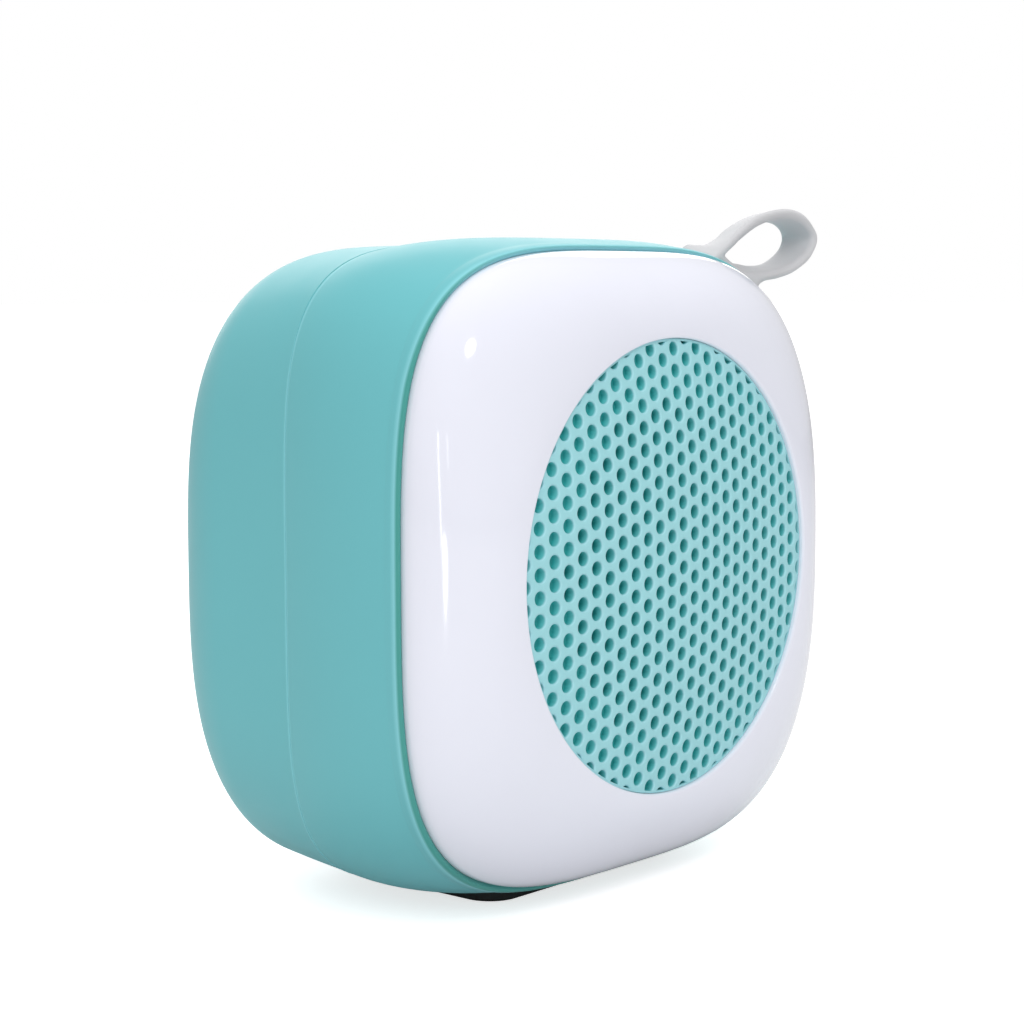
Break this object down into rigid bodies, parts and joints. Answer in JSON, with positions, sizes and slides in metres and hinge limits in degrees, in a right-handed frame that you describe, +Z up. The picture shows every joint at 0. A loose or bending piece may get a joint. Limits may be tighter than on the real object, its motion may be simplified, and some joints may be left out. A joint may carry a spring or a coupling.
{
  "type": "portable bluetooth speaker",
  "caption": "Pillow-shaped portable speaker with a domed white bezel, a round perforated grille, a carry loop at one top corner, and keys and sockets on its back.",
  "frame": {"origin": "middle of the base pad's underside, on the surface it stands on", "axes": "+Z up, -Y out of the grille, +X to the right seen from the front"},
  "size_m": [0.084, 0.0518, 0.0807],
  "materials": {
    "teal_shell": "satin teal, moulded",
    "white_bezel": "glossy cool white",
    "silicone": "matte pale grey silicone",
    "steel": "plain",
    "plated_steel": "tinned or nickel plated",
    "black_plastic": "matte black",
    "white_plastic": "matte white",
    "clear_plastic": "clear",
    "teal_grille": "light teal, moulded",
    "cloth": "fine deep teal mesh",
    "foam": "closed-cell foam",
    "black_rubber": "matte",
    "paper_cone": "pressed paper",
    "spider_cloth": "resin-dipped cotton",
    "ferrite": "sintered ferrite",
    "copper": "enamelled copper wire",
    "circuit_board": "green solder mask",
    "battery_foil": "laminated pouch foil",
    "red_wire": "PVC",
    "black_wire": "PVC"
  },
  "bodies": {
    "case": {"front_bezel": "white_bezel", "grille": "teal_grille", "front_shell": "teal_shell", "back_shell": "teal_shell", "strap": "silicone", "strap_pin": "steel", "base_pad": "black_rubber", "case_screws": "steel", "grille_cloth": "cloth", "driver_gasket": "foam", "driver_frame": "steel", "surround": "black_rubber", "spider": "spider_cloth", "top_plate": "plated_steel", "magnet": "ferrite", "yoke": "plated_steel", "terminal_strip": "copper", "driver_screws": "steel", "main_board": "circuit_board", "bluetooth_chip": "black_plastic", "amplifier_chip": "black_plastic", "crystal": "plated_steel", "capacitors": "plated_steel", "usb_shell": "plated_steel", "usb_tongue": "black_plastic", "aux_jack": "black_plastic", "card_slot": "plated_steel", "switch_body": "plated_steel", "battery_plug": "white_plastic", "battery_header": "white_plastic", "speaker_plug": "white_plastic", "speaker_header": "white_plastic", "key_board": "circuit_board", "tact_switches": "black_plastic", "status_led": "clear_plastic", "light_pipe": "clear_plastic", "microphone": "plated_steel", "key_ribbon": "white_plastic", "board_screws": "steel", "battery_cell": "battery_foil", "battery_tape": "foam", "battery_lead_red": "red_wire", "battery_lead_black": "black_wire", "speaker_lead_red": "red_wire", "speaker_lead_black": "black_wire"},
    "cone_assembly": {"cone": "paper_cone", "dust_cap": "paper_cone", "voice_coil": "copper"},
    "switch_slider": {"switch_knob": "black_plastic", "switch_lever": "black_plastic"},
    "previous_key": {"previous_button": "teal_shell", "previous_plunger": "white_plastic"},
    "play_key": {"play_button": "teal_shell", "play_plunger": "white_plastic"},
    "next_key": {"next_button": "teal_shell", "next_plunger": "white_plastic"}
  },
  "joints": [
    {"name": "cone_travel", "type": "slide", "parent": "case", "child": "cone_assembly", "axis": [0, -1, 0], "range_m": [-0.001, 0.001], "stiffness_N_per_m": 900, "deforming": ["surround", "spider"]},
    {"name": "previous_press", "type": "slide", "parent": "case", "child": "previous_key", "axis": [0, -1, 0], "range_m": [0, 0.0003], "stiffness_N_per_m": 4000},
    {"name": "play_press", "type": "slide", "parent": "case", "child": "play_key", "axis": [0, -1, 0], "range_m": [0, 0.0003], "stiffness_N_per_m": 4000},
    {"name": "next_press", "type": "slide", "parent": "case", "child": "next_key", "axis": [0, -1, 0], "range_m": [0, 0.0003], "stiffness_N_per_m": 4000},
    {"name": "power_switch_slide", "type": "slide", "parent": "case", "child": "switch_slider", "axis": [1, 0, 0], "range_m": [0, 0.002]}
  ]
}
